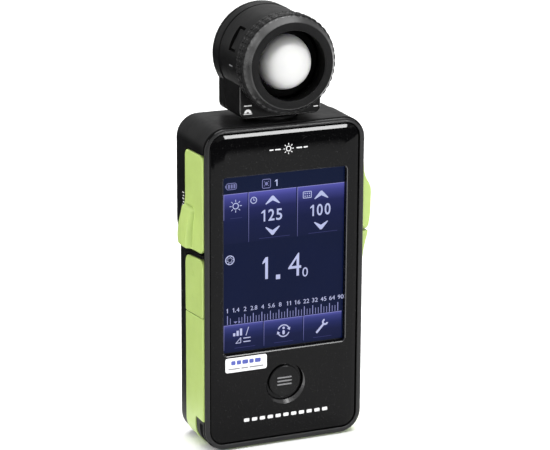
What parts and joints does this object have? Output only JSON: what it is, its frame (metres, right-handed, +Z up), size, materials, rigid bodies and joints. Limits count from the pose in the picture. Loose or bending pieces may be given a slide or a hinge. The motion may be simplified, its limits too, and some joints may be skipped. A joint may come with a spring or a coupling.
{
  "type": "handheld light meter",
  "caption": "Handheld photographic light meter: slim touch-screen casing with green side grips, a swivelling head and a retractable white diffuser dome.",
  "frame": {"origin": "on the flat base, under the middle of the casing", "axes": "+X to the right when the screen is read, -Y the way the screen and dome face, +Z up through the head"},
  "size_m": [0.0612, 0.0321, 0.1406],
  "materials": {
    "black_casing": "satin black moulded plastic",
    "gloss_panel": "piano black polished plastic",
    "green_grip": "light green satin plastic",
    "head_black": "fine-grained black plastic",
    "diffuser_white": "translucent white diffuser",
    "screen_glass": "clear touch glass",
    "lcd": "lit colour display",
    "backlight": "white diffuser stack",
    "label_paper": "white printed sticker",
    "circuit_board": "green solder mask",
    "chip_black": "moulded component bodies",
    "steel": "plated steel",
    "brass": "turned brass",
    "cell_sleeve": "printed cell jacket",
    "tray_grey": "unpainted moulding",
    "soft_black": "soft black",
    "sensor_filter": "colour-correcting filter"
  },
  "bodies": {
    "casing": {"front_frame": "black_casing", "mid_housing": "black_casing", "rear_cover": "black_casing", "front_panel": "gloss_panel", "lower_grip": "green_grip", "swivel_base": "head_black", "touch_panel": "screen_glass", "lcd_cell": "lcd", "lcd_backlight": "backlight", "front_label": "label_paper", "main_board": "circuit_board", "processor": "chip_black", "menu_switch": "chip_black", "measuring_switch": "chip_black", "memory_switch": "chip_black", "power_switch": "chip_black", "radio_module": "steel", "sync_socket": "steel", "usb_connector": "steel", "battery_contact_bridge": "steel", "battery_contact_plus": "steel", "battery_spring_left": "steel", "battery_spring_right": "steel", "casing_screw_lower_left": "steel", "casing_screw_lower_right": "steel", "casing_screw_upper_left": "steel", "casing_screw_upper_right": "steel", "tripod_socket": "brass", "battery_cell_left": "cell_sleeve", "battery_cell_right": "cell_sleeve", "battery_tray": "tray_grey", "strap_eyelet": "soft_black"},
    "measuring_button": {"measuring_button": "green_grip"},
    "memory_button": {"memory_button": "green_grip"},
    "menu_button": {"menu_button": "gloss_panel"},
    "power_button": {"power_button": "green_grip"},
    "battery_door": {"battery_door": "black_casing"},
    "connector_cover": {"connector_cover": "green_grip"},
    "head": {"head_front_shell": "head_black", "head_rear_shell": "head_black", "swivel_shaft": "steel", "swivel_retainer": "steel", "guide_plug_left": "soft_black", "guide_plug_right": "soft_black", "head_screw_left": "steel", "head_screw_right": "steel", "light_tunnel": "soft_black", "sensor_filter": "sensor_filter", "sensor_board": "circuit_board", "photodiode": "chip_black"},
    "retractor_ring": {"retractor_ring": "head_black"},
    "dome": {"lumisphere": "diffuser_white", "dome_carrier": "soft_black"}
  },
  "joints": [
    {"name": "head_swivel", "type": "hinge", "parent": "casing", "child": "head", "pos_m": [0, 0.0006, 0.1058], "axis": [0, 0, 1], "range_deg": [-180, 90]},
    {"name": "ring_turn", "type": "hinge", "parent": "head", "child": "retractor_ring", "pos_m": [0, -0.014, 0.1246], "axis": [0, -1, 0], "range_deg": [0, 73]},
    {"name": "dome_slide", "type": "slide", "parent": "head", "child": "dome", "axis": [0, 1, 0], "range_m": [0, 0.005]},
    {"name": "menu_press", "type": "slide", "parent": "casing", "child": "menu_button", "axis": [0, 1, 0], "range_m": [0, 0.0004], "stiffness_N_per_m": 2000, "springref_m": -0.0005},
    {"name": "measure_press", "type": "slide", "parent": "casing", "child": "measuring_button", "axis": [1, 0, 0], "range_m": [0, 0.0004], "stiffness_N_per_m": 2000, "springref_m": -0.0005},
    {"name": "memory_press", "type": "slide", "parent": "casing", "child": "memory_button", "axis": [-1, 0, 0], "range_m": [0, 0.0004], "stiffness_N_per_m": 2000, "springref_m": -0.0005},
    {"name": "power_press", "type": "slide", "parent": "casing", "child": "power_button", "axis": [0, -1, 0], "range_m": [0, 0.0004], "stiffness_N_per_m": 2000, "springref_m": -0.0005},
    {"name": "battery_door_slide", "type": "slide", "parent": "casing", "child": "battery_door", "axis": [0, 0, -1], "range_m": [0, 0.045]},
    {"name": "connector_cover_hinge", "type": "hinge", "parent": "casing", "child": "connector_cover", "pos_m": [-0.02745, -0.01175, 0.0536], "axis": [0, 0, 1], "range_deg": [0, 110]}
  ],
  "couplings": [
    {"joint": "dome_slide", "follows": "ring_turn", "m_per_rad": 0.00392}
  ]
}
